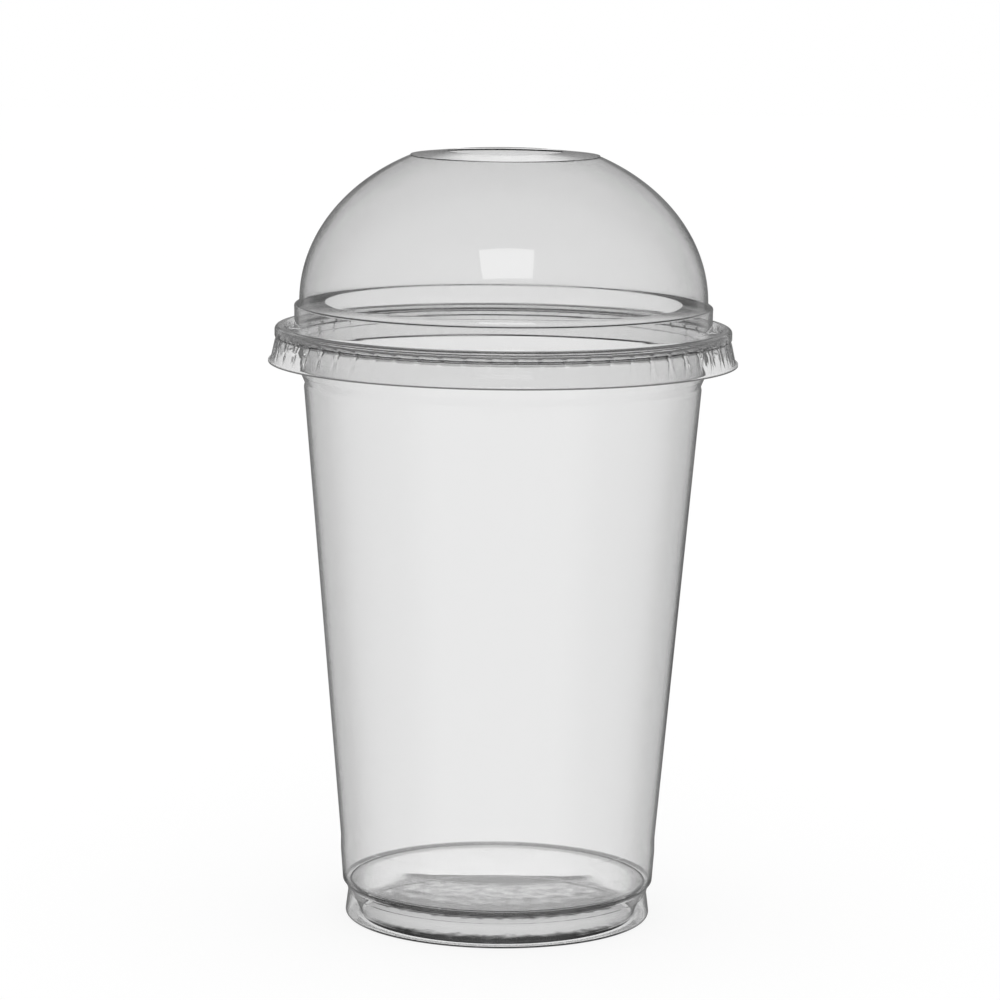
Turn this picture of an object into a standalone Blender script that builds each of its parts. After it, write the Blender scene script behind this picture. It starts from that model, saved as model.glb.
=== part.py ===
"""Clear disposable drink cup with a snap-on dome lid, both formed from thin plastic sheet.

Metres, +Z up. The origin is the centre of the foot ring's underside, so the cup stands
on Z = 0. Each piece is one sheet: the path of its outer skin is drawn as (radius, height)
points, the inner skin follows it one wall thickness away, and the section is turned.
"""

import math

import bmesh
import bpy
from mathutils import Matrix, Vector

# Shared by both pieces
SECTORS = 60
SEAT_GAP = 0.0003

# Cup: sheet, foot ring and the recess under the base
CUP_WALL = 0.00036
FOOT_RADIUS = 0.0344
FOOT_HEIGHT = 0.0057
FOOT_TAPER = 0.0007
FOOT_BEND = 0.0009
FOOT_LAND = 0.0036
RECESS_DEPTH = 0.0076
RECESS_DRAFT = 0.0012
RECESS_BEND = 0.0022

# Cup: heel over the foot, stacking band and tapered body
HEEL_OVERHANG = 0.00115
HEEL_RISE = 0.0024
HEEL_BEND = 0.0009
HEEL_BEND_START = math.radians(-50)
BAND_HEIGHT = 0.0150
BAND_WIDTH = 0.0030
BAND_RADIUS = 0.03545
BODY_HEIGHT = 0.1199
BODY_TOP_RADIUS = 0.04427

# Cup: neck with its groove and stacking bulge, and the rolled rim
GROOVE_DEPTH = 0.0002
GROOVE_RISE = 0.0009
NECK_RADIUS = 0.04485
NECK_HEIGHT = 0.1226
BULGE_RADIUS = 0.0456
BULGE_HEIGHT = 0.1271
WAIST_HEIGHT = 0.1286
RIM_RADIUS = 0.0493
RIM_CURL = 0.0013
RIM_FLARE_DROP = 0.0007
RIM_CURL_END = math.radians(-110)
CUP_HEIGHT = 0.1319

# Lid: dome with its drinking hole
LID_WALL = 0.00032
LID_HEIGHT = 0.17242
HOLE_RADIUS = 0.01266
CROWN_RADIUS = 0.0210
DOME_RADIUS = 0.0454
DOME_RISE = 0.0364
DOME_BASE_HEIGHT = 0.1391

# Lid: stacking ledge, collar and the channel that sits on the rim
LEDGE_DROP = 0.0007
LEDGE_BEND = 0.0005
COLLAR_RADIUS = 0.04655
COLLAR_WAIST = 0.00015
CHANNEL_WIDTH = 0.0006
CHANNEL_BEND = 0.0004

# Lid: bead over the rim, snap dents and flared skirt
BEAD_RADIUS = 0.05085
BEAD_BEND = 0.0009
BEAD_CREST_DROP = 0.0022
BEAD_CROWN = 0.0009
SNAP_INSET = 0.0002
SNAP_DROP = 0.0004
SNAP_HEIGHT = 0.0022
SNAP_TIP_SHARE = 0.2
SKIRT_RADIUS = 0.05225
SKIRT_HEIGHT = 0.1257

# How finely the round stretches of a section are drawn
DOME_STEPS = 9
BEND_STEPS = 2
CURL_STEPS = 7

# Finish
SHEET_COLOUR = (0.93, 0.94, 0.94, 1.0)
SHEET_ROUGHNESS = 0.04
SHEET_IOR = 1.575
SMOOTH_ANGLE = math.radians(35)
MERGE_DISTANCE = 0.000001


def arc(centre, radius, start, end, steps):
    """Points on a circle from one angle to another, the first and the last included."""
    angles = [start + (end - start) * step / steps for step in range(steps + 1)]
    return [
        (centre[0] + radius * math.cos(angle), centre[1] + radius * math.sin(angle))
        for angle in angles
    ]


def unit_normal(first, second):
    """The unit normal on the left of a path's leg."""
    leg = Vector(second) - Vector(first)
    return Vector((-leg.y, leg.x)).normalized()


def offset(path, distance):
    """The path moved to its left by a distance, with mitred corners."""
    normals = [unit_normal(a, b) for a, b in zip(path, path[1:])]
    before = [normals[0]] + normals
    after = normals + [normals[-1]]
    moved = []
    for point, one, other in zip(path, before, after):
        mitre = (one + other) / (1 + one.dot(other))
        moved.append((point[0] + distance * mitre.x, point[1] + distance * mitre.y))
    return moved


def cup_path():
    """The cup's lower and outer skin, from the middle of the base to the end of the rim's curl."""
    up, down, out, inward = math.pi / 2, -math.pi / 2, 0.0, math.pi
    recess_radius = FOOT_RADIUS - FOOT_LAND
    panel_radius = recess_radius - RECESS_DRAFT - RECESS_BEND
    heel_radius = FOOT_RADIUS - FOOT_TAPER + HEEL_OVERHANG
    heel = (heel_radius - HEEL_BEND, FOOT_HEIGHT + HEEL_RISE)
    curl = (RIM_RADIUS - RIM_CURL, CUP_HEIGHT - RIM_CURL)
    curl_inside = RIM_CURL - CUP_WALL
    path = [(0, RECESS_DEPTH)]
    path += arc((panel_radius, RECESS_DEPTH - RECESS_BEND), RECESS_BEND, up, out, BEND_STEPS)
    path += arc((recess_radius + FOOT_BEND, FOOT_BEND), FOOT_BEND, inward, 3 * up, BEND_STEPS)
    path += arc((FOOT_RADIUS - FOOT_BEND, FOOT_BEND), FOOT_BEND, down, out, BEND_STEPS)
    path += [(FOOT_RADIUS - FOOT_TAPER, FOOT_HEIGHT)]
    path += arc(heel, HEEL_BEND, HEEL_BEND_START, out, BEND_STEPS)
    path += [
        (BAND_RADIUS, BAND_HEIGHT),
        (BAND_RADIUS, BAND_HEIGHT + BAND_WIDTH),
        (BODY_TOP_RADIUS, BODY_HEIGHT),
        (BODY_TOP_RADIUS - GROOVE_DEPTH, BODY_HEIGHT + GROOVE_RISE),
        (NECK_RADIUS, NECK_HEIGHT),
        (BULGE_RADIUS, BULGE_HEIGHT),
        (NECK_RADIUS, WAIST_HEIGHT),
        (curl[0] - curl_inside, curl[1] - RIM_FLARE_DROP),
    ]
    path += arc(curl, curl_inside, inward, RIM_CURL_END, CURL_STEPS)
    return path


def lid_path():
    """The lid's outer and upper skin, from the foot of the skirt to the edge of the hole."""
    up, out, inward = math.pi / 2, 0.0, math.pi
    seat = CUP_HEIGHT + SEAT_GAP + LID_WALL
    rim_middle = RIM_RADIUS - RIM_CURL
    bead_top = seat + BEAD_CROWN
    bead = (BEAD_RADIUS - BEAD_BEND, bead_top - BEAD_BEND)
    snap_top = bead_top - BEAD_CREST_DROP - SNAP_DROP
    snap_radius = BEAD_RADIUS - SNAP_INSET
    collar_foot = seat + CHANNEL_BEND
    collar_top = DOME_BASE_HEIGHT - LEDGE_DROP - LEDGE_BEND
    channel = (COLLAR_RADIUS + CHANNEL_BEND, seat + CHANNEL_BEND)
    ledge = (COLLAR_RADIUS - LEDGE_BEND, collar_top)
    crown_angle = math.acos(CROWN_RADIUS / DOME_RADIUS)
    path = [
        (SKIRT_RADIUS, SKIRT_HEIGHT),
        (snap_radius + SNAP_INSET, snap_top - SNAP_HEIGHT),
        (snap_radius, snap_top),
        (BEAD_RADIUS, bead_top - BEAD_CREST_DROP),
    ]
    path += arc(bead, BEAD_BEND, out, up, BEND_STEPS)
    path += [(rim_middle, bead_top), (channel[0] + CHANNEL_WIDTH, seat)]
    path += arc(channel, CHANNEL_BEND, 3 * up, inward, BEND_STEPS)
    path += [(COLLAR_RADIUS - COLLAR_WAIST, (collar_foot + collar_top) / 2)]
    path += arc(ledge, LEDGE_BEND, out, up, BEND_STEPS)
    path += [
        (DOME_RADIUS * math.cos(angle), DOME_BASE_HEIGHT + DOME_RISE * math.sin(angle))
        for angle in (crown_angle * step / DOME_STEPS for step in range(DOME_STEPS + 1))
    ]
    path += [(HOLE_RADIUS, LID_HEIGHT)]
    return path


def section_of(bm, path, wall):
    """Draws both skins of a sheet in the XZ plane, joined at the sheet's free edges."""
    outline = path + offset(path, wall)[::-1]
    verts = [bm.verts.new((radius, 0, height)) for radius, height in outline]
    edges = [bm.edges.new(pair) for pair in zip(verts, verts[1:])]
    if outline[0][0] > MERGE_DISTANCE:
        edges.append(bm.edges.new((verts[-1], verts[0])))
    return verts + edges


def turn(bm, geometry, angle, steps, copies=False):
    """Spins geometry about the Z axis, or copies it round at each step, and sews the seams."""
    bmesh.ops.spin(
        bm,
        geom=geometry,
        cent=(0, 0, 0),
        axis=(0, 0, 1),
        angle=angle,
        steps=steps,
        use_duplicate=copies,
    )
    bmesh.ops.remove_doubles(bm, verts=bm.verts[:], dist=MERGE_DISTANCE)


def press_dent(bm, face, depth):
    """Presses a snap dent into one facet: a triangle pointing down, deepest near its top."""
    top = max(face.edges, key=lambda edge: sum(vert.co.z for vert in edge.verts))
    foot = min(face.edges, key=lambda edge: sum(vert.co.z for vert in edge.verts))
    corners = set(face.verts)
    bmesh.ops.subdivide_edges(bm, edges=[top], cuts=2)
    bmesh.ops.subdivide_edges(bm, edges=[foot], cuts=1)
    added = [vert for vert in face.verts if vert not in corners]
    bmesh.ops.connect_verts(bm, verts=added)
    dent = next(face for face in added[0].link_faces if set(face.verts) == set(added))
    low = min(vert.co.z for vert in added)
    high = max(vert.co.z for vert in added)
    tip = bmesh.ops.poke(bm, faces=[dent])["verts"][0]
    tip.co.z = high - (high - low) * SNAP_TIP_SHARE
    radius = math.hypot(tip.co.x, tip.co.y)
    tip.co.x *= (radius - depth) / radius
    tip.co.y *= (radius - depth) / radius


def in_snap_band(face):
    """Whether a facet of the lid is one of the two skins of the band that holds the dents."""
    bead_top = CUP_HEIGHT + SEAT_GAP + LID_WALL + BEAD_CROWN
    snap_top = bead_top - BEAD_CREST_DROP - SNAP_DROP
    middle = snap_top - SNAP_HEIGHT / 2
    heights = [vert.co.z for vert in face.verts]
    return min(heights) < middle < max(heights)


def sheet_material(name):
    """Clear, glossy plastic sheet."""
    material = bpy.data.materials.new(name)
    material.use_nodes = True
    shader = material.node_tree.nodes["Principled BSDF"]
    shader.inputs["Base Color"].default_value = SHEET_COLOUR
    shader.inputs["Roughness"].default_value = SHEET_ROUGHNESS
    shader.inputs["Metallic"].default_value = 0
    shader.inputs["IOR"].default_value = SHEET_IOR
    shader.inputs["Transmission Weight"].default_value = 1
    return material


def finish(bm, name):
    """Makes the named object from a closed bmesh, with its faces pointing out."""
    bmesh.ops.recalc_face_normals(bm, faces=bm.faces[:])
    if bm.calc_volume(signed=True) < 0:
        bmesh.ops.reverse_faces(bm, faces=bm.faces[:])
    mesh = bpy.data.meshes.new(name)
    bm.to_mesh(mesh)
    bm.free()
    mesh.shade_smooth()
    mesh.set_sharp_from_angle(angle=SMOOTH_ANGLE)
    mesh.materials.append(sheet_material(name + "_sheet"))
    piece = bpy.data.objects.new(name, mesh)
    bpy.context.scene.collection.objects.link(piece)
    return piece


def make_cup():
    """One formed sheet: recessed base, foot ring, tapered body and rolled rim."""
    bm = bmesh.new()
    section = section_of(bm, cup_path(), CUP_WALL)
    turn(bm, section, math.tau, SECTORS)
    return finish(bm, "cup")


def make_lid():
    """One formed sheet: holed dome, collar, bead over the rim, snap dents and skirt."""
    bm = bmesh.new()
    sector = math.tau / SECTORS
    section = section_of(bm, lid_path(), LID_WALL)
    turn(bm, section, sector, 1)
    inner_radius = BEAD_RADIUS - SNAP_INSET - LID_WALL
    depth = inner_radius - (RIM_RADIUS + SEAT_GAP)
    for face in [face for face in bm.faces if in_snap_band(face)]:
        press_dent(bm, face, depth)
    bmesh.ops.triangulate(bm, faces=[face for face in bm.faces if len(face.verts) > 4])
    turn(bm, bm.verts[:] + bm.edges[:] + bm.faces[:], math.tau - sector, SECTORS - 1, copies=True)
    return finish(bm, "dome_lid")


def main():
    """Clears the scene and makes both pieces, with the lid riding on the cup."""
    for old in list(bpy.data.objects):
        bpy.data.objects.remove(old, do_unlink=True)
    cup = make_cup()
    lid = make_lid()
    lid.parent = cup
    lid.matrix_parent_inverse = Matrix.Identity(4)


main()
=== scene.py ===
"""Looks of a clear disposable drink cup with a snap-on dome lid.

Both pieces are thin formed sheet. Cup and DomeLid each draw the outer skin of their piece as
corners with bends, follow it with the inner skin one sheet thickness away, and turn the
section about Z. Metres, +Z up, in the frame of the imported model.
"""

import logging
import math
from dataclasses import dataclass, field
from enum import Enum

import bmesh
import bpy
from mathutils import Matrix, Vector


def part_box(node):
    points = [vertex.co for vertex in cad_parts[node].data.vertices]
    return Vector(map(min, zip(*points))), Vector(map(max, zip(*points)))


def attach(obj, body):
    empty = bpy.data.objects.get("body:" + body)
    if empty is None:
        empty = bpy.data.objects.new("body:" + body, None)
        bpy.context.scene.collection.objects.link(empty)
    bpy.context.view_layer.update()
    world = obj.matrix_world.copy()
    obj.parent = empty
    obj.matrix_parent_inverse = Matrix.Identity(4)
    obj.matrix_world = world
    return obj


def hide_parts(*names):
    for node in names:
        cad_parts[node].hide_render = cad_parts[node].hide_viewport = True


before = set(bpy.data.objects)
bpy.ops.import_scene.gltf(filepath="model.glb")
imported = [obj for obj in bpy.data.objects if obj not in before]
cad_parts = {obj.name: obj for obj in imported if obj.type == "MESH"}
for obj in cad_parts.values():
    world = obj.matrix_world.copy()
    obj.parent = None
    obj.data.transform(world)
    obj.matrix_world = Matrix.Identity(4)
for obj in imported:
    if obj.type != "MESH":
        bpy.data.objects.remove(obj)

Point = tuple[float, float]
Socket = bpy.types.NodeSocket
MERGE_DISTANCE = 0.000001

# The direction to the axis in a section, and the angle past which an edge shades sharp.
INWARD = math.pi
SHARP = math.radians(50)

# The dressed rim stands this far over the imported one, and the lid's channel over the rim.
RIM_RISE = 0.0003
SEAT_GAP = 0.00032

# How often a ray may pass through sheet, and how often it may be mirrored.
SHEET_BOUNCES = 40
MIRROR_BOUNCES = 16

# Bounces are counted whole, so half a bounce divides none from some.
HALF_A_BOUNCE = 0.5

# What a noise gives on average.
NOISE_MIDDLE = 0.5

log = logging.getLogger("cup")


class Slot(Enum):
    """The record's material slots."""

    CUP = "cup_sheet"
    LID = "lid_sheet"


class Body(Enum):
    """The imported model's bodies."""

    CUP = "cup"
    LID = "lid"


@dataclass(frozen=True)
class Corner:
    """A corner of a section, in radius and height, rounded by a bend."""

    radius: float
    height: float
    bend: float = 0.0


@dataclass(frozen=True)
class Drawing:
    """How finely round stretches are drawn."""

    bend_step: float = math.radians(12)
    least_turn: float = math.radians(1)
    turns: int = 240


DRAWING = Drawing()


def arc(centre: Point, radius: float, start: float, end: float, step: float) -> list[Point]:
    """Draws a circular arc.

    Args:
        centre: The circle's centre.
        radius: The circle's radius.
        start: The angle of the first point.
        end: The angle of the last point.
        step: The widest angle between two points.

    Returns:
        The arc's points, both ends included.
    """
    count = max(1, math.ceil(abs(end - start) / step))
    angles = [start + (end - start) * index / count for index in range(count + 1)]
    return [
        (centre[0] + radius * math.cos(angle), centre[1] + radius * math.sin(angle))
        for angle in angles
    ]


def rounded(before: Vector, corner: Corner, after: Vector, step: float) -> list[Point]:
    """Rounds one corner by its bend.

    Args:
        before: The point that comes before the corner.
        corner: The corner and its bend.
        after: The point that comes after the corner.
        step: The widest angle between two points of the bend.

    Returns:
        The points that stand for the corner.
    """
    tip = Vector((corner.radius, corner.height))
    arriving = (before - tip).normalized()
    leaving = (after - tip).normalized()
    half = math.acos(max(-1.0, min(1.0, arriving.dot(leaving)))) / 2
    turn = math.pi - 2 * half
    if corner.bend == 0 or turn < DRAWING.least_turn:
        return [(corner.radius, corner.height)]
    middle = tip + (arriving + leaving).normalized() * corner.bend / math.sin(half)
    first = tip + arriving * corner.bend / math.tan(half) - middle
    last = tip + leaving * corner.bend / math.tan(half) - middle
    start = math.atan2(first.y, first.x)
    sweep = math.atan2(first.cross(last), first.dot(last))
    return arc((middle.x, middle.y), corner.bend, start, start + sweep, step)


def outline(corners: list[Corner], step: float = DRAWING.bend_step) -> list[Point]:
    """Draws a path through corners, each rounded by its bend.

    Args:
        corners: The corners in order; the two at the ends stay sharp.
        step: The widest angle between two points of a bend.

    Returns:
        The path's points.
    """
    places = [Vector((corner.radius, corner.height)) for corner in corners]
    path = [tuple(places[0])]
    for before, corner, after in zip(places, corners[1:-1], places[2:]):
        path += rounded(before, corner, after, step)
    path.append(tuple(places[-1]))
    return path


def refined(path: list[Point], low: float, high: float, step: float) -> list[Point]:
    """Adds points to the legs of a path that lie between two heights.

    Args:
        path: The path's points.
        low: The lower height.
        high: The upper height.
        step: The longest leg that stays undivided there.

    Returns:
        The path with the added points.
    """
    fine = [path[0]]
    for (r0, h0), (r1, h1) in zip(path, path[1:]):
        inside = low <= min(h0, h1) and max(h0, h1) <= high
        count = max(1, math.ceil(math.hypot(r1 - r0, h1 - h0) / step)) if inside else 1
        fine += [
            (r0 + (r1 - r0) * index / count, h0 + (h1 - h0) * index / count)
            for index in range(1, count + 1)
        ]
    return fine


def offset(path: list[Point], walls: list[float]) -> list[Point]:
    """Moves a path to its left, with mitred corners.

    Args:
        path: The path's points.
        walls: How far each point moves.

    Returns:
        The moved path, point for point.
    """
    legs = [(Vector(b) - Vector(a)).normalized() for a, b in zip(path, path[1:])]
    normals = [Vector((-leg.y, leg.x)) for leg in legs]
    moved = []
    sides = zip(path, walls, [normals[0]] + normals, normals + [normals[-1]])
    for point, wall, one, other in sides:
        mitre = (one + other) / (1 + one.dot(other))
        moved.append((point[0] + wall * mitre.x, point[1] + wall * mitre.y))
    return moved


def turn(
    bm: bmesh.types.BMesh, geometry: list, angle: float, steps: int, copies: bool = False
) -> None:
    """Spins geometry about the Z axis, or copies it round, and sews the seams.

    Args:
        bm: The mesh being built.
        geometry: What is spun.
        angle: The whole angle.
        steps: The number of steps in it.
        copies: Whether each step makes a copy instead of a surface.
    """
    bmesh.ops.spin(
        bm,
        geom=geometry,
        cent=(0, 0, 0),
        axis=(0, 0, 1),
        angle=angle,
        steps=steps,
        use_duplicate=copies,
    )
    bmesh.ops.remove_doubles(bm, verts=bm.verts[:], dist=MERGE_DISTANCE)


def draw_section(bm: bmesh.types.BMesh, outer: list[Point], inner: list[Point]) -> list:
    """Draws both skins of a sheet in the XZ plane, joined at the sheet's free edges.

    Args:
        bm: The mesh being built.
        outer: The outer skin.
        inner: The inner skin, which starts and ends where the outer one does.

    Returns:
        The section's vertices and edges.
    """
    loop = outer + inner[::-1]
    verts = [bm.verts.new((radius, 0, height)) for radius, height in loop]
    edges = [bm.edges.new(pair) for pair in zip(verts, verts[1:])]
    if loop[0][0] > MERGE_DISTANCE:
        edges.append(bm.edges.new((verts[-1], verts[0])))
    return verts + edges


def finish_mesh(bm: bmesh.types.BMesh, name: str) -> bpy.types.Object:
    """Makes an object from a closed mesh, with its faces pointing out.

    Args:
        bm: The closed mesh, which is freed.
        name: The object's name.

    Returns:
        The new object, at the origin.
    """
    bmesh.ops.recalc_face_normals(bm, faces=bm.faces[:])
    if bm.calc_volume(signed=True) < 0:
        bmesh.ops.reverse_faces(bm, faces=bm.faces[:])
    mesh = bpy.data.meshes.new(name)
    bm.to_mesh(mesh)
    bm.free()
    mesh.shade_smooth()
    mesh.set_sharp_from_angle(angle=SHARP)
    piece = bpy.data.objects.new(name, mesh)
    bpy.context.scene.collection.objects.link(piece)
    return piece


class Nodes:
    """A short way to build a node tree."""

    def __init__(self, tree: bpy.types.NodeTree) -> None:
        """Keeps the tree.

        Args:
            tree: The tree that the nodes go into.
        """
        self.tree = tree

    def add(self, kind: str, **settings: object) -> bpy.types.Node:
        """Adds a node.

        Args:
            kind: The node's type.
            **settings: Its properties.

        Returns:
            The new node.
        """
        node = self.tree.nodes.new(kind)
        for name, value in settings.items():
            setattr(node, name, value)
        return node

    def link(self, source: Socket, target: Socket) -> None:
        """Links two sockets.

        Args:
            source: The output.
            target: The input.
        """
        self.tree.links.new(source, target)

    def math(
        self, operation: str, first: object, second: object = 0.0, clamp: bool = False
    ) -> Socket:
        """Adds a Math node.

        Args:
            operation: What it works out.
            first: A socket or a number.
            second: A socket or a number.
            clamp: Whether the result is held between 0 and 1.

        Returns:
            The result's socket.
        """
        node = self.add("ShaderNodeMath", operation=operation, use_clamp=clamp)
        for socket, value in zip(node.inputs, (first, second)):
            if isinstance(value, Socket):
                self.link(value, socket)
            else:
                socket.default_value = value
        return node.outputs[0]

    def chain(self, operation: str, *values: object) -> Socket:
        """Works through several values, each with the result of those before it.

        Args:
            operation: What the Math nodes work out.
            *values: At least two sockets or numbers.

        Returns:
            The result's socket.
        """
        result, *others = values
        for value in others:
            result = self.math(operation, result, value)
        return result

    def product(self, *factors: object) -> Socket:
        """Multiplies sockets and numbers.

        Args:
            *factors: At least two of them.

        Returns:
            The product's socket.
        """
        return self.chain("MULTIPLY", *factors)

    def total(self, *terms: object) -> Socket:
        """Adds up sockets and numbers.

        Args:
            *terms: At least two of them.

        Returns:
            The sum's socket.
        """
        return self.chain("ADD", *terms)

    def rest(self, value: Socket, clamp: bool = False) -> Socket:
        """Takes a value from 1.

        Args:
            value: The value.
            clamp: Whether the rest is held between 0 and 1.

        Returns:
            The rest's socket.
        """
        return self.math("SUBTRACT", 1.0, value, clamp=clamp)

    def squared(self, value: Socket) -> Socket:
        """Multiplies a value by itself.

        Args:
            value: The value.

        Returns:
            The square's socket.
        """
        return self.math("POWER", value, 2.0)

    def mixed(self, share: Socket, first: Socket, second: Socket) -> Socket:
        """Mixes two shaders.

        Args:
            share: The second one's share.
            first: The first shader.
            second: The second shader.

        Returns:
            The mixed shader's socket.
        """
        node = self.add("ShaderNodeMixShader")
        for socket, source in zip(node.inputs, (share, first, second)):
            self.link(source, socket)
        return node.outputs[0]

    def noise(self, place: Socket, size: float, detail: float) -> Socket:
        """Adds a Noise Texture node.

        Args:
            place: Where it is looked up.
            size: The size of its blots.
            detail: How many finer layers it has.

        Returns:
            The noise's socket.
        """
        node = self.add("ShaderNodeTexNoise")
        node.inputs["Scale"].default_value = 1 / size
        node.inputs["Detail"].default_value = detail
        self.link(place, node.inputs["Vector"])
        return node.outputs["Fac"]

    def length(self, vector: Socket) -> Socket:
        """Adds a node that gives a vector's length.

        Args:
            vector: The vector.

        Returns:
            The length's socket.
        """
        node = self.add("ShaderNodeVectorMath", operation="LENGTH")
        self.link(vector, node.inputs[0])
        return node.outputs["Value"]

    def rise(self, value: Socket, start: float, end: float) -> Socket:
        """Adds a smooth step from 0 to 1.

        Args:
            value: What is looked at.
            start: The value at which the step begins.
            end: The value at which it has reached 1; below the start for a falling step.

        Returns:
            The step's socket.
        """
        low, high = min(start, end), max(start, end)
        node = self.add("ShaderNodeMapRange", interpolation_type="SMOOTHSTEP")
        self.link(value, node.inputs["Value"])
        node.inputs["From Min"].default_value = low
        node.inputs["From Max"].default_value = high
        node.inputs["To Min"].default_value = 0 if start < end else 1
        node.inputs["To Max"].default_value = 1 if start < end else 0
        return node.outputs["Result"]

    def edge(self, value: Socket, place: float, soft: float) -> Socket:
        """Adds a smooth step from 0 to 1 about a place.

        Args:
            value: What is looked at.
            place: The middle of the step.
            soft: Half the width of the step; below 0 for a falling one.

        Returns:
            The step's socket.
        """
        return self.rise(value, place - soft, place + soft)

    def profile(self, value: Socket, stops: dict[float, float]) -> Socket:
        """Adds a ramp through several levels.

        Args:
            value: What is looked at, between 0 and 1.
            stops: The level at each place.

        Returns:
            The level's socket.
        """
        node = self.add("ShaderNodeValToRGB")
        ramp = node.color_ramp
        for index, (place, level) in enumerate(stops.items()):
            known = index < len(ramp.elements)
            stop = ramp.elements[index] if known else ramp.elements.new(place)
            stop.position = place
            stop.color = (level, level, level, 1)
        self.link(value, node.inputs["Fac"])
        return node.outputs["Color"]


@dataclass(frozen=True)
class Zone:
    """A ring-shaped part of a sheet, with soft ends, told by radius and height."""

    radii: tuple[float, float]
    heights: tuple[float, float]
    soft: float = 0.0002

    def mask(self, nodes: Nodes, radius: Socket, height: Socket) -> Socket:
        """Builds the nodes that are 1 inside the zone and 0 outside it.

        Args:
            nodes: The material's tree.
            radius: The place's distance from the Z axis.
            height: The place's height.

        Returns:
            The mask's socket.
        """
        parts = []
        for value, (low, high) in ((radius, self.radii), (height, self.heights)):
            above = nodes.edge(value, low, self.soft)
            below = nodes.edge(value, high, -self.soft)
            parts.append(nodes.product(above, below))
        return nodes.product(*parts)


@dataclass(frozen=True)
class ClearSheet:
    """The finish of clear formed sheet: slightly wavy, with painted shade darkening one zone at a
    bend.
    """

    name: str
    colour: tuple[float, float, float]
    painted_shade: Zone
    painted_shade_colour: tuple[float, float, float]
    ior: float = 1.575
    gloss: tuple[float, float] = (0.01, 0.05)
    wave_size: float = 0.011
    wave_detail: float = 1
    wave_depth: float = 0.00003
    wave_range: tuple[float, float] = (0.3, 0.7)

    def material(self) -> bpy.types.Material:
        """Makes the material.

        Returns:
            The new material.
        """
        material = bpy.data.materials.new(self.name)
        material.use_nodes = True
        nodes = Nodes(material.node_tree)
        shader = material.node_tree.nodes["Principled BSDF"]
        shader.inputs["Base Color"].default_value = (*self.colour, 1)
        shader.inputs["IOR"].default_value = self.ior
        shader.inputs["Transmission Weight"].default_value = 1
        place = nodes.add("ShaderNodeTexCoord").outputs["Object"]
        waves = nodes.noise(place, self.wave_size, self.wave_detail)
        nodes.link(self.dulled(nodes, waves), shader.inputs["Roughness"])
        bump = nodes.add("ShaderNodeBump")
        bump.inputs["Distance"].default_value = self.wave_depth
        nodes.link(waves, bump.inputs["Height"])
        nodes.link(bump.outputs["Normal"], shader.inputs["Normal"])
        nodes.link(self.with_painted_shade(nodes, place), shader.inputs["Base Color"])
        return material

    def dulled(self, nodes: Nodes, waves: Socket) -> Socket:
        """Builds the nodes for the gloss, which goes up and down with the waves.

        Args:
            nodes: The material's tree.
            waves: The waves' height.

        Returns:
            The roughness's socket.
        """
        node = nodes.add("ShaderNodeMapRange")
        nodes.link(waves, node.inputs["Value"])
        sides = ("From Min", "From Max", "To Min", "To Max")
        for side, value in zip(sides, self.wave_range + self.gloss):
            node.inputs[side].default_value = value
        return node.outputs["Result"]

    def with_painted_shade(self, nodes: Nodes, place: Socket) -> Socket:
        """Builds the nodes for the colour, which is darker where the painted shade lies.

        Args:
            nodes: The material's tree.
            place: The place on the sheet.

        Returns:
            The colour's socket.
        """
        split = nodes.add("ShaderNodeSeparateXYZ")
        nodes.link(place, split.inputs[0])
        flat = nodes.add("ShaderNodeCombineXYZ")
        for axis in "XY":
            nodes.link(split.outputs[axis], flat.inputs[axis])
        node = nodes.add("ShaderNodeMix", data_type="RGBA")
        ends = [socket for socket in node.inputs if socket.type == "RGBA"]
        for socket, value in zip(ends, (self.colour, self.painted_shade_colour)):
            socket.default_value = (*value, 1)
        # Painted shade: the sheet's colour is darkened in a ring at a bend, standing for shade
        # there.
        in_painted_shade = self.painted_shade.mask(nodes, nodes.length(flat.outputs[0]), split.outputs["Z"])
        nodes.link(in_painted_shade, node.inputs["Factor"])
        return next(socket for socket in node.outputs if socket.type == "RGBA")


@dataclass(frozen=True)
class TrimmedEdge:
    """The finish of the narrow face where the sheet was cut: frosted and grey."""

    name: str
    colour: tuple[float, float, float] = (0.2, 0.2, 0.2)
    roughness: float = 0.5

    def material(self) -> bpy.types.Material:
        """Makes the material.

        Returns:
            The new material.
        """
        material = bpy.data.materials.new(self.name)
        material.use_nodes = True
        shader = material.node_tree.nodes["Principled BSDF"]
        shader.inputs["Base Color"].default_value = (*self.colour, 1)
        shader.inputs["Roughness"].default_value = self.roughness
        return material


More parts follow.
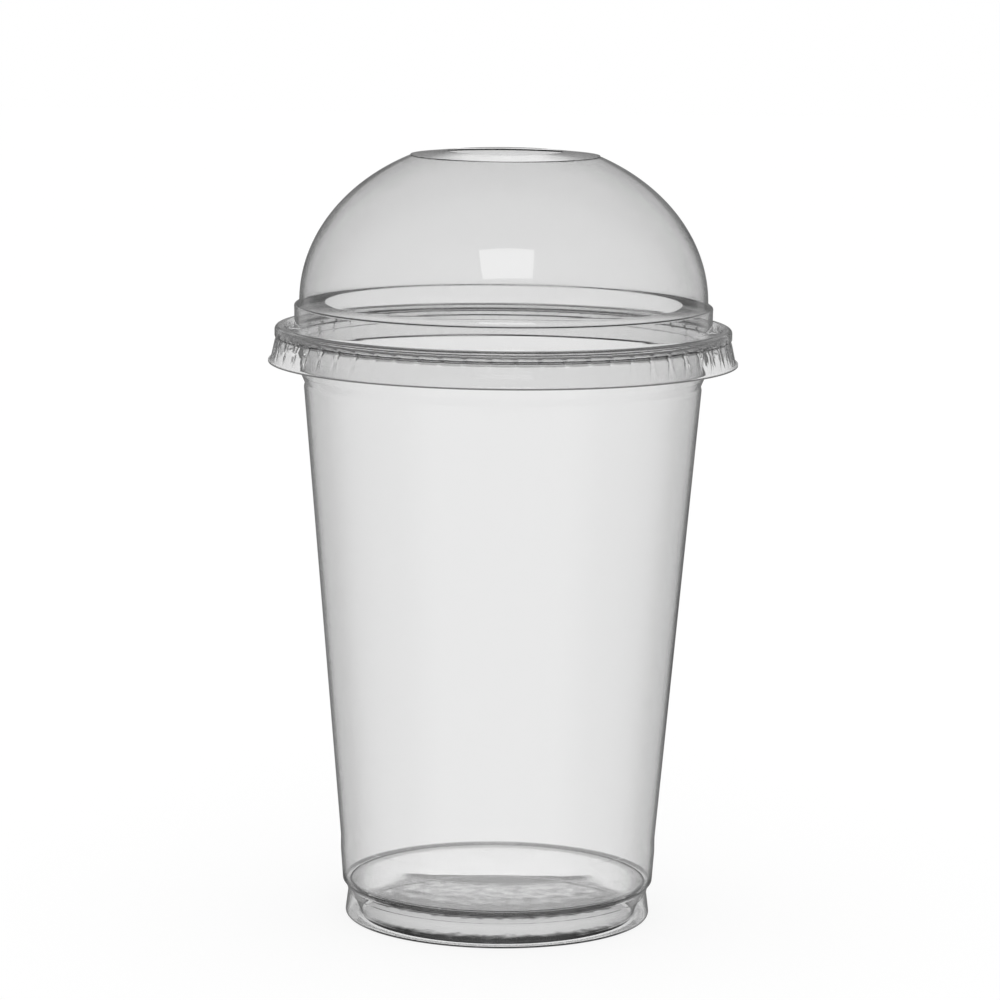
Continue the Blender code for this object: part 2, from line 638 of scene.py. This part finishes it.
@dataclass
class Cup:
    """The cup: recessed base, foot ring, heel, stacking band, tapered body, neck and rolled rim."""

    height: float
    wall: float = 0.00030
    heel_wall: float = 0.00037
    heel_reach: float = 0.0014
    foot_radius: float = 0.0344
    foot_height: float = 0.0055
    foot_taper: float = 0.0007
    foot_bend: float = 0.0009
    foot_land: float = 0.0042
    recess_depth: float = 0.0079
    recess_lean: float = 0.0032
    recess_bend: float = 0.0005
    notch_radius: float = 0.0341
    notch_height: float = 0.0071
    heel_radius: float = 0.03495
    heel_height: float = 0.0082
    heel_bend: float = 0.0005
    band_height: float = 0.0150
    band_width: float = 0.0030
    band_radius: float = 0.03545
    body_height: float = 0.1199
    body_top_radius: float = 0.04427
    groove_depth: float = 0.0002
    groove_rise: float = 0.0009
    neck_radius: float = 0.04485
    neck_height: float = 0.1226
    bulge_radius: float = 0.0456
    bulge_height: float = 0.1271
    waist_height: float = 0.1296
    waist_radius: float = 0.0445
    rim_radius: float = 0.04935
    rim_curl: float = 0.00085
    rim_flare_drop: float = 0.0004
    rim_curl_end: float = math.radians(-110)
    small_bend: float = 0.0006
    finish: ClearSheet = field(
        default_factory=lambda: ClearSheet(
            name="cup_sheet",
            colour=(0.972, 0.972, 0.972),
            # Painted shade darkens a ring at the heel's corner.
            painted_shade=Zone((0.0330, 0.0362), (0.0076, 0.0083)),
            painted_shade_colour=(0.42, 0.42, 0.42),
            gloss=(0.0, 0.02),
            wave_depth=0.00001,
        )
    )

    def foot_inside(self) -> float:
        """Gives the radius inside the foot ring.

        Returns:
            The radius.
        """
        return self.foot_radius - self.foot_land

    def skin(self) -> list[Point]:
        """Draws the lower and outer skin, from the middle of the base to the end of the curl.

        Returns:
            The skin's points.
        """
        curl_inside = self.rim_curl - self.wall
        curl = (self.rim_radius - self.rim_curl, self.height - self.rim_curl)
        path = outline(
            [
                Corner(0, self.recess_depth),
                Corner(
                    self.foot_inside() + self.recess_lean, self.recess_depth, self.recess_bend
                ),
                Corner(self.foot_inside(), 0, self.foot_bend),
                Corner(self.foot_radius, 0, self.foot_bend),
                Corner(self.foot_radius - self.foot_taper, self.foot_height, self.small_bend),
                Corner(self.notch_radius, self.notch_height, self.foot_bend),
                Corner(self.heel_radius, self.heel_height, self.heel_bend),
                Corner(self.band_radius, self.band_height, self.small_bend),
                Corner(self.band_radius, self.band_height + self.band_width, self.small_bend),
                Corner(self.body_top_radius, self.body_height, self.small_bend),
                Corner(
                    self.body_top_radius - self.groove_depth,
                    self.body_height + self.groove_rise,
                    self.small_bend,
                ),
                Corner(self.neck_radius, self.neck_height, self.small_bend),
                Corner(self.bulge_radius, self.bulge_height, self.small_bend),
                Corner(self.waist_radius, self.waist_height, self.small_bend),
                Corner(curl[0] - curl_inside, curl[1] - self.rim_flare_drop),
            ]
        )
        return path + arc(curl, curl_inside, INWARD, self.rim_curl_end, DRAWING.bend_step)

    def wall_at(self, point: Point) -> float:
        """Works out the sheet's thickness, which is more at the heel's corner.

        Args:
            point: A point of the outer skin.

        Returns:
            The thickness there.
        """
        away = math.hypot(point[0] - self.heel_radius, point[1] - self.heel_height)
        share = max(0.0, 1 - away / self.heel_reach)
        return self.wall + (self.heel_wall - self.wall) * share

    def build(self) -> bpy.types.Object:
        """Turns the cup and dresses it.

        Returns:
            The cup.
        """
        bm = bmesh.new()
        over_heel = self.band_height + self.small_bend
        skin = refined(self.skin(), self.notch_height, over_heel, self.small_bend)
        section = draw_section(bm, skin, offset(skin, [self.wall_at(point) for point in skin]))
        turn(bm, section, math.tau, DRAWING.turns)
        piece = finish_mesh(bm, "formed_cup")
        piece.data.materials.append(self.finish.material())
        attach(piece, Body.CUP.value)
        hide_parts("cup")
        log.info("formed cup: %d faces", len(piece.data.polygons))
        return piece


@dataclass(frozen=True)
class SnapDent:
    """A dent pressed into the band under the bead: a triangle that points down."""

    top: float
    tip: float
    half_width: float = 0.00105
    depth: float = 0.0005
    close: float = 0.0012

    def depth_at(self, across: float, height: float) -> float:
        """Works out how far the sheet is pressed in.

        Args:
            across: The distance from the dent's middle, along the circle.
            height: The height.

        Returns:
            The depth there.
        """
        if not self.tip < height < self.top + self.close:
            return 0.0
        share = min(1.0, (height - self.tip) / (self.top - self.tip))
        width = self.half_width * share
        side = max(0.0, 1 - abs(across) / max(width, MERGE_DISTANCE))
        closing = min(1.0, (self.top + self.close - height) / self.close)
        return self.depth * share * side * side * (3 - 2 * side) * closing


@dataclass
class DomeLid:
    """The lid: holed dome, stacking ledge, collar, channel, bead, snap dents and skirt."""

    height: float
    seat: float
    skirt_radius: float
    skirt_height: float
    wall: float = 0.00032
    sectors: int = 60
    columns: int = 4
    hole_radius: float = 0.01266
    crown_radius: float = 0.0210
    crown_step: float = 0.0002
    dome_radius: float = 0.0454
    dome_rise: float = 0.0364
    dome_base_height: float = 0.1391
    dome_steps: int = 40
    ledge_drop: float = 0.0007
    ledge_bend: float = 0.0005
    collar_radius: float = 0.04655
    collar_waist: float = 0.00015
    collar_bow: float = 0.03
    channel_width: float = 0.00155
    channel_bend: float = 0.0012
    channel_edge_bend: float = 0.0005
    bead_inside: float = 0.04875
    bead_inside_bend: float = 0.0008
    bead_radius: float = 0.05085
    bead_bend: float = 0.0009
    crease_bend: float = 0.0002
    bead_crest_drop: float = 0.0022
    bead_crown: float = 0.001
    snap_inset: float = 0.0003
    snap_drop: float = 0.00035
    snap_bend: float = 0.00015
    snap_shoulder: float = 0.0007
    snap_height: float = 0.0027
    skirt_bend_drop: float = 0.0010
    skirt_bend: float = 0.001
    lip_width: float = 0.0005
    lip_bend: float = 0.0004
    dent_cuts: int = 3
    dent_step: float = 0.00025
    dent_margin: float = 0.001
    cut_tilt: float = 0.5
    rim_middle: float = 0.0480
    finish: ClearSheet = field(
        default_factory=lambda: ClearSheet(
            name="lid_sheet",
            colour=(0.926, 0.926, 0.926),
            # Painted shade darkens a ring at the bead.
            painted_shade=Zone((0.0499, 0.0512), (0.1331, 0.1340)),
            painted_shade_colour=(0.6, 0.6, 0.6),
        )
    )
    edge_finish: TrimmedEdge = field(default_factory=lambda: TrimmedEdge("lid_trimmed_edge"))

    def skin(self) -> list[Point]:
        """Draws the outer and upper skin, from the foot of the skirt to the edge of the hole.

        Returns:
            The skin's points.
        """
        bead_top = self.seat + self.bead_crown
        snap_top = self.snap_top()
        skirt_foot = self.skirt_height + self.wall
        collar_top = self.dome_base_height - self.ledge_drop
        collar_middle = (self.seat + collar_top) / 2
        path = outline(
            [
                Corner(self.skirt_radius, skirt_foot),
                Corner(self.skirt_radius - self.lip_width, skirt_foot, self.lip_bend),
                Corner(self.bead_radius, snap_top - self.skirt_bend_drop, self.skirt_bend),
                Corner(self.bead_radius - self.snap_inset, snap_top, self.snap_bend),
                Corner(self.bead_radius, bead_top - self.bead_crest_drop, self.crease_bend),
                Corner(self.bead_radius, bead_top, self.bead_bend),
                Corner(self.bead_inside, bead_top, self.bead_inside_bend),
                Corner(
                    self.collar_radius + self.channel_width, self.seat, self.channel_edge_bend
                ),
                Corner(self.collar_radius, self.seat, self.channel_bend),
                Corner(self.collar_radius - self.collar_waist, collar_middle, self.collar_bow),
                Corner(self.collar_radius, collar_top, self.ledge_bend),
                Corner(self.collar_radius - self.ledge_bend, collar_top, self.crease_bend),
                Corner(self.dome_radius, self.dome_base_height),
            ]
        )
        crown_angle = math.acos(self.crown_radius / self.dome_radius)
        for step in range(1, self.dome_steps + 1):
            angle = crown_angle * step / self.dome_steps
            path.append(
                (
                    self.dome_radius * math.cos(angle),
                    self.dome_base_height + self.dome_rise * math.sin(angle),
                )
            )
        path.append((self.crown_radius, path[-1][1] + self.crown_step))
        path.append((self.hole_radius, self.height))
        return path

    def snap_top(self) -> float:
        """Gives the height of the ledge under the bead, where the dents start.

        Returns:
            The height.
        """
        return self.seat + self.bead_crown - self.bead_crest_drop - self.snap_drop

    def press_dent(self, bm: bmesh.types.BMesh) -> None:
        """Presses the dent of one sector into both skins.

        Args:
            bm: One sector of the lid, from angle 0 to the sector's angle.
        """
        dent = SnapDent(self.snap_top(), self.snap_top() - self.snap_height)
        low, high = dent.tip - self.snap_shoulder, dent.top + dent.close
        level = [
            edge
            for edge in bm.edges
            if abs(edge.verts[0].co.z - edge.verts[1].co.z) < MERGE_DISTANCE
            and low < edge.verts[0].co.z < high
            and edge.verts[0].co.xy.length > self.rim_middle
            and abs(edge.verts[0].co.xy.length - edge.verts[1].co.xy.length) < MERGE_DISTANCE
        ]
        bmesh.ops.subdivide_edges(bm, edges=level, cuts=self.dent_cuts)
        middle = math.pi / self.sectors
        for vert in bm.verts:
            radius = vert.co.xy.length
            if low < vert.co.z < high and radius > self.rim_middle:
                angle = math.atan2(vert.co.y, vert.co.x)
                chord = math.pi / (self.sectors * self.columns)
                sag = math.cos(chord) / math.cos(angle % (2 * chord) - chord)
                depth = dent.depth_at((angle - middle) * radius, vert.co.z)
                vert.co.xy = vert.co.xy * (1 / sag - depth / radius)

    def build(self) -> bpy.types.Object:
        """Turns the lid and dresses it.

        Returns:
            The lid.
        """
        bm = bmesh.new()
        low = self.snap_top() - self.snap_height - self.snap_shoulder
        high = self.snap_top() + self.dent_margin
        skin = refined(self.skin(), low, high, self.dent_step)
        section = draw_section(bm, skin, offset(skin, [self.wall] * len(skin)))
        sector = math.tau / self.sectors
        turn(bm, section, sector, self.columns)
        self.press_dent(bm)
        everything = bm.verts[:] + bm.edges[:] + bm.faces[:]
        turn(bm, everything, math.tau - sector, self.sectors - 1, copies=True)
        piece = finish_mesh(bm, "formed_lid")
        piece.data.materials.append(self.finish.material())
        piece.data.materials.append(self.edge_finish.material())
        for face in piece.data.polygons:
            low_enough = face.center.z < self.skirt_height + self.wall
            far_out = face.center.xy.length > self.skirt_radius - self.wall / 2
            if low_enough and far_out and abs(face.normal.z) < self.cut_tilt:
                face.material_index = 1
        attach(piece, Body.LID.value)
        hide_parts("dome_lid")
        log.info("formed lid: %d faces", len(piece.data.polygons))
        return piece


@dataclass(frozen=True)
class PhotoCamera:
    """The camera at the photograph's viewing angle."""

    side: float = -0.00034
    distance: float = 0.96592
    height: float = 0.23885
    pitch: float = math.radians(8.5047)
    roll: float = math.radians(0.6424)
    focal_share: float = 4.3671
    sensor: float = 36.0

    def build(self) -> bpy.types.Object:
        """Makes the camera and sets it as the scene's.

        Returns:
            The camera.
        """
        data = bpy.data.cameras.new("photo_camera")
        data.sensor_width = self.sensor
        data.lens = self.focal_share * self.sensor
        camera = bpy.data.objects.new("photo_camera", data)
        bpy.context.scene.collection.objects.link(camera)
        forward = Vector((0, math.cos(self.pitch), -math.sin(self.pitch)))
        level_up = Vector((0, math.sin(self.pitch), math.cos(self.pitch)))
        level_right = Vector((1, 0, 0))
        right = level_right * math.cos(self.roll) + level_up * math.sin(self.roll)
        up = level_up * math.cos(self.roll) - level_right * math.sin(self.roll)
        turned = Matrix((right, up, -forward)).transposed().to_4x4()
        camera.matrix_world = Matrix.Translation((self.side, -self.distance, self.height)) @ turned
        bpy.context.scene.camera = camera
        return camera


@dataclass(frozen=True)
class Surroundings:
    """What the sheet shows by direction: a bright wall behind the object, and a dim room.

    The azimuth is 0 behind the object and 180 at the camera. Levels are given by azimuth, in
    degrees, and edges by elevation, as where a smooth step starts and ends.
    """

    base: float = 0.03
    wall_levels: dict[float, float] = field(
        default_factory=lambda: {
            0: 1.0, 6: 1.0, 9: 0.47, 22: 0.42, 36: 0.3, 46: 0.18, 55: 0.07, 64: 0.0, 180: 0.03,
        }
    )
    low_levels: dict[float, float] = field(
        default_factory=lambda: {
            0: 0.3, 8: 0.2, 24: 0.18, 30: 0.35, 38: 0.35, 46: 0.15, 60: 0.0, 110: 0.0,
            140: 0.25, 180: 0.25,
        }
    )
    core_head: tuple[float, float] = (42, 28)
    core_level: float = 0.4
    wall_head: tuple[float, float] = (80, 36)
    wall_foot: tuple[float, float] = (9.5, 15)
    low_foot: tuple[float, float] = (-45, -25)
    clear_head: tuple[float, float] = (14, 4)
    flag_head: tuple[float, float] = (-27, -34)
    flag_foot: tuple[float, float] = (-66, -56)
    flag_side: tuple[float, float] = (80, 60)
    flag_level: float = 0.08

    def step(self, nodes: Nodes, angle: Socket, ends: tuple[float, float]) -> Socket:
        """Adds a smooth step between two angles.

        Args:
            nodes: The world's tree.
            angle: The angle, in radians.
            ends: Where the step starts and ends, in degrees.

        Returns:
            The step's socket.
        """
        return nodes.rise(angle, *map(math.radians, ends))

    def angles(self, nodes: Nodes) -> tuple[Socket, Socket]:
        """Works out the azimuth, with no sign, and the elevation of the ray.

        Args:
            nodes: The world's tree.

        Returns:
            Both sockets.
        """
        split = nodes.add("ShaderNodeSeparateXYZ")
        nodes.link(nodes.add("ShaderNodeTexCoord").outputs["Generated"], split.inputs[0])
        turned = nodes.math("ARCTAN2", split.outputs["X"], split.outputs["Y"])
        return nodes.math("ABSOLUTE", turned), nodes.math("ARCSINE", split.outputs["Z"])

    def through(self, nodes: Nodes) -> Socket:
        """Builds the nodes for rays bent by the sheet: white, dark above, and a flag low behind.

        Args:
            nodes: The world's tree.

        Returns:
            The strength's socket.
        """
        azimuth, elevation = self.angles(nodes)
        head, foot, clear_head = (
            self.step(nodes, elevation, ends)
            for ends in (self.flag_head, self.flag_foot, self.clear_head)
        )
        flag = nodes.product(head, foot, self.step(nodes, azimuth, self.flag_side))
        clear = nodes.rest(nodes.product(flag, 1 - self.flag_level))
        return nodes.math("MAXIMUM", nodes.product(clear, clear_head), self.flag_level)

    def strength(self, nodes: Nodes) -> Socket:
        """Builds the nodes for reflected rays.

        Args:
            nodes: The world's tree.

        Returns:
            The strength's socket.
        """
        azimuth, elevation = self.angles(nodes)
        place = nodes.math("DIVIDE", azimuth, math.pi)
        wall, low = (
            nodes.profile(
                place,
                {math.radians(angle) / math.pi: level for angle, level in levels.items()},
            )
            for levels in (self.wall_levels, self.low_levels)
        )
        core, head, foot, low_foot = (
            self.step(nodes, elevation, ends)
            for ends in (self.core_head, self.wall_head, self.wall_foot, self.low_foot)
        )
        limit = nodes.total(nodes.product(core, 1 - self.core_level), self.core_level)
        wall = nodes.product(nodes.math("MINIMUM", wall, limit), head, foot)
        low = nodes.product(low, nodes.rest(foot), low_foot)
        return nodes.math("MAXIMUM", nodes.total(wall, low), self.base)


@dataclass(frozen=True)
class PaintedFootLight:
    """Painted shadow and light on the floor inside the cup's foot, as let through its front wall.

    The reach of a place is how far it lies behind the front wall. Levels are given by reach.
    """

    wall_radius: float
    foot_inside: float
    longest: float = 0.12
    panel_shift: float = 0.0310
    panel_radius: float = 0.0325
    glow_gain: float = 0.5
    levels: dict[float, float] = field(
        default_factory=lambda: {
            0.0: 0.03, 0.0105: 0.04, 0.0125: 0.3, 0.0145: 0.75, 0.020: 0.8, 0.0285: 0.7,
            0.0308: 0.05, 0.0395: 0.02, 0.041: 0.3, 0.044: 0.36, 0.0457: 0.15, 0.0475: 0.45,
            0.0585: 0.55, 0.0603: 0.03, 0.12: 0.03,
        }
    )
    mottle_size: float = 0.003
    mottle_detail: float = 3
    mottle_shift: float = 0.006
    mottle_level: float = 1.3
    mottle_start: float = 0.030
    mottle_end: float = 0.060
    mottle_soft: float = 0.004
    side_lean: float = 0.34
    side_start: float = 0.0305
    side_end: float = 0.0365
    back_start: float = 0.010
    back_end: float = 0.014
    glow_start: float = 0.018
    glow_end: float = 0.022
    front_end: float = 0.004
    far_edge: float = 0.0440
    far_bend: float = 0.3
    edge_soft: float = 0.0005
    lowest: float = 0.02

    def level(self, nodes: Nodes) -> Socket:
        """Builds the nodes for the painted light's level on the floor.

        Args:
            nodes: The floor's tree.

        Returns:
            The level's socket, 1 where nothing dims the floor.
        """
        place = nodes.add("ShaderNodeTexCoord").outputs["Object"]
        split = nodes.add("ShaderNodeSeparateXYZ")
        nodes.link(place, split.inputs[0])
        side, back = nodes.math("ABSOLUTE", split.outputs["X"]), split.outputs["Y"]
        leaned = nodes.total(side, nodes.product(back, self.side_lean))
        noise = nodes.noise(place, self.mottle_size, self.mottle_detail)
        grain = nodes.math("SUBTRACT", noise, NOISE_MIDDLE)
        ragged = nodes.product(grain, self.mottle_shift)
        chord = nodes.math("SUBTRACT", self.wall_radius**2, nodes.squared(side))
        chord = nodes.math("SQRT", nodes.math("MAXIMUM", chord, 0.0))
        reach = nodes.total(back, chord, ragged)
        bent = (nodes.product(part, self.far_bend) for part in (chord, ragged))
        beyond = nodes.edge(nodes.total(back, *bent), self.far_edge, self.edge_soft)
        inside = nodes.math("LESS_THAN", nodes.length(place), self.foot_inside)
        behind = nodes.rise(back, self.back_start, self.back_end)
        shown = nodes.math("MAXIMUM", inside, nodes.product(behind, nodes.rest(beyond)))
        shown = nodes.product(shown, nodes.rise(leaned, self.side_end, self.side_start))
        front = nodes.product(inside, nodes.rise(back, self.front_end, 0.0))
        shown = nodes.math("MAXIMUM", shown, front)
        dimmed = nodes.product(nodes.rest(self.mottled(nodes, reach, grain)), shown)
        aside = nodes.product(
            nodes.rise(back, self.glow_start, self.glow_end),
            nodes.rise(leaned, self.side_start, self.side_end),
        )
        glowing = nodes.product(
            self.under_panel(nodes, side, back), nodes.math("MAXIMUM", beyond, aside)
        )
        lit = nodes.total(1.0, nodes.product(glowing, self.glow_gain))
        return nodes.math("SUBTRACT", lit, dimmed)

    def mottled(self, nodes: Nodes, reach: Socket, grain: Socket) -> Socket:
        """Builds the nodes for the painted light's level by reach, mottled over a part of it.

        Args:
            nodes: The floor's tree.
            reach: The reach.
            grain: The noise that mottles it.

        Returns:
            The level's socket.
        """
        share = nodes.math("DIVIDE", reach, self.longest, clamp=True)
        level = nodes.profile(
            share, {place / self.longest: value for place, value in self.levels.items()}
        )
        starting = nodes.rise(reach, self.mottle_start, self.mottle_start + self.mottle_soft)
        ending = nodes.rise(reach, self.mottle_end, self.mottle_end - self.mottle_soft)
        strength = nodes.product(starting, self.mottle_level, ending)
        return nodes.math(
            "MAXIMUM", nodes.total(nodes.product(grain, strength), level), self.lowest
        )

    def under_panel(self, nodes: Nodes, side: Socket, back: Socket) -> Socket:
        """Builds the nodes for the round place where the painted glow shows through the floor
        panel.

        Args:
            nodes: The floor's tree.
            side: The distance from the middle to either side.
            back: The distance behind the middle.

        Returns:
            A socket that is 1 in it and 0 outside it.
        """
        past = nodes.math("SUBTRACT", back, self.panel_shift)
        away = nodes.math("SQRT", nodes.total(nodes.squared(past), nodes.squared(side)))
        return nodes.edge(away, self.panel_radius, -self.edge_soft)


@dataclass(frozen=True)
class Softbox:
    """The softbox over the camera, aimed at the middle of the lid."""

    sides: tuple[float, float] = (0.62, 0.55)
    energy: float = 1.4
    target_height: float = 0.15
    azimuth: float = math.radians(178)
    elevation: float = math.radians(42)
    distance: float = 1.3

    def build(self) -> bpy.types.Object:
        """Makes the softbox.

        Returns:
            The lamp.
        """
        data = bpy.data.lights.new("softbox", "AREA")
        data.shape = "RECTANGLE"
        data.size, data.size_y = self.sides
        data.energy = self.energy
        lamp = bpy.data.objects.new("softbox", data)
        bpy.context.scene.collection.objects.link(lamp)
        away = Vector(
            (
                math.sin(self.azimuth) * math.cos(self.elevation),
                math.cos(self.azimuth) * math.cos(self.elevation),
                math.sin(self.elevation),
            )
        )
        lamp.location = Vector((0, 0, self.target_height)) + away * self.distance
        lamp.rotation_mode = "QUATERNION"
        lamp.rotation_quaternion = away.to_track_quat("Z", "Y")
        return lamp


@dataclass(frozen=True)
class Studio:
    """White surroundings seen by the eye and through the sheet, with others seen in its gloss."""

    # The painted shadow and light on the floor inside the foot.
    painted_foot_light: PaintedFootLight
    floor_size: float = 6.0
    floor_colour: tuple[float, float, float] = (0.95, 0.95, 0.95)
    floor_white: float = 1.04
    floor_lift: float = 0.8
    fill_level: float = 0.9
    surroundings: Surroundings = field(default_factory=Surroundings)

    def seen_straight(self, nodes: Nodes, path: bpy.types.Node) -> Socket:
        """Tells the rays that reach the surroundings with no reflection on their way.

        Args:
            nodes: The tree that asks.
            path: Its Light Path node.

        Returns:
            A socket that is 1 for the eye's rays, also through clear sheet, and else 0.
        """
        kinds = (path.outputs["Is Camera Ray"], path.outputs["Is Transmission Ray"])
        straight = nodes.math("LESS_THAN", path.outputs["Glossy Depth"], HALF_A_BOUNCE)
        return nodes.product(nodes.math("MAXIMUM", *kinds), straight)

    def build_world(self) -> None:
        """Makes the world: white to the camera and through clear sheet, boards in reflections."""
        world = bpy.data.worlds.new("studio")
        bpy.context.scene.world = world
        world.use_nodes = True
        world.node_tree.nodes.clear()
        nodes = Nodes(world.node_tree)
        path = nodes.add("ShaderNodeLightPath")
        seen = self.seen_straight(nodes, path)
        through = self.surroundings.through(nodes)
        direct = nodes.math("MAXIMUM", path.outputs["Is Camera Ray"], through)
        mirrored = nodes.math("GREATER_THAN", path.outputs["Glossy Depth"], HALF_A_BOUNCE)
        scattered = nodes.math("SUBTRACT", nodes.rest(seen), mirrored, clamp=True)
        strength = nodes.total(
            nodes.product(seen, direct),
            nodes.product(mirrored, self.surroundings.strength(nodes)),
            nodes.product(scattered, self.fill_level),
        )
        background = nodes.add("ShaderNodeBackground")
        background.inputs["Color"].default_value = (1, 1, 1, 1)
        nodes.link(strength, background.inputs["Strength"])
        output = nodes.add("ShaderNodeOutputWorld")
        nodes.link(background.outputs[0], output.inputs["Surface"])

    def build_floor(self) -> bpy.types.Object:
        """Makes the floor: white to the eye, with the object's soft shadow, and painted light seen
        through the sheet.

        Returns:
            The floor.
        """
        bm = bmesh.new()
        bmesh.ops.create_grid(bm, x_segments=1, y_segments=1, size=self.floor_size / 2)
        mesh = bpy.data.meshes.new("floor")
        bm.to_mesh(mesh)
        bm.free()
        floor = bpy.data.objects.new("floor", mesh)
        bpy.context.scene.collection.objects.link(floor)
        mesh.materials.append(self.floor_material())
        return floor

    def floor_material(self) -> bpy.types.Material:
        """Makes the floor's material, which is clear to all rays but the camera's own.

        Returns:
            The new material.
        """
        material = bpy.data.materials.new("floor")
        material.use_nodes = True
        material.node_tree.nodes.clear()
        nodes = Nodes(material.node_tree)
        path = nodes.add("ShaderNodeLightPath")
        seen = self.seen_straight(nodes, path)
        clear, lit = self.floor_clear(nodes, seen), self.floor_lit(nodes, seen)
        surface = nodes.mixed(path.outputs["Is Camera Ray"], clear, lit)
        output = nodes.add("ShaderNodeOutputMaterial")
        nodes.link(surface, output.inputs["Surface"])
        return material

    def floor_lit(self, nodes: Nodes, seen: Socket) -> Socket:
        """Builds the shader with the object's shadow, lifted towards white.

        Args:
            nodes: The floor's tree.
            seen: Whether the eye sees the floor with no reflection on the way.

        Returns:
            The shader's socket.
        """
        diffuse = nodes.add("ShaderNodeBsdfDiffuse")
        diffuse.inputs["Color"].default_value = (*self.floor_colour, 1)
        white = nodes.add("ShaderNodeEmission")
        white.inputs["Strength"].default_value = self.floor_white
        return nodes.mixed(
            nodes.product(seen, self.floor_lift), diffuse.outputs[0], white.outputs[0]
        )

    def floor_clear(self, nodes: Nodes, seen: Socket) -> Socket:
        """Builds the clear shader, dimmed or brightened by the painted shadow and light inside the
        foot.

        Args:
            nodes: The floor's tree.
            seen: Whether the eye sees the floor with no reflection on the way.

        Returns:
            The shader's socket.
        """
        # Painted shadow and light: the floor is dimmed or made to glow where the eye sees it
        # through the sheet.
        painted_dimming = nodes.product(nodes.rest(self.painted_foot_light.level(nodes)), seen)
        passed = nodes.rest(painted_dimming, clamp=True)
        shade = nodes.add("ShaderNodeCombineColor")
        for socket in shade.inputs:
            nodes.link(passed, socket)
        clear = nodes.add("ShaderNodeBsdfTransparent")
        nodes.link(shade.outputs[0], clear.inputs["Color"])
        painted_glow = nodes.add("ShaderNodeEmission")
        added = nodes.math("MAXIMUM", nodes.product(painted_dimming, -1.0), 0.0)
        nodes.link(added, painted_glow.inputs["Strength"])
        both = nodes.add("ShaderNodeAddShader")
        for source, socket in zip((clear, painted_glow), both.inputs):
            nodes.link(source.outputs[0], socket)
        return both.outputs[0]


def set_paths() -> None:
    """Lets light pass through all the sheets that lie behind each other."""
    cycles = bpy.context.scene.cycles
    cycles.max_bounces = SHEET_BOUNCES
    cycles.transmission_bounces = SHEET_BOUNCES
    cycles.glossy_bounces = MIRROR_BOUNCES
    bpy.context.scene.view_settings.view_transform = "Standard"


def main() -> None:
    """Builds the camera, the studio and both pieces."""
    logging.basicConfig(level=logging.INFO, format="%(message)s")
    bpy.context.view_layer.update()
    _, cup_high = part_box("cup")
    lid_low, lid_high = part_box("dome_lid")
    PhotoCamera().build()
    cup = Cup(height=cup_high.z + RIM_RISE)
    studio = Studio(PaintedFootLight(wall_radius=cup.heel_radius, foot_inside=cup.foot_inside()))
    studio.build_world()
    studio.build_floor()
    Softbox().build()
    cup.build()
    DomeLid(
        height=lid_high.z,
        seat=cup.height + SEAT_GAP,
        skirt_radius=lid_high.x,
        skirt_height=lid_low.z,
    ).build()
    set_paths()


if __name__ == "__main__":
    main()
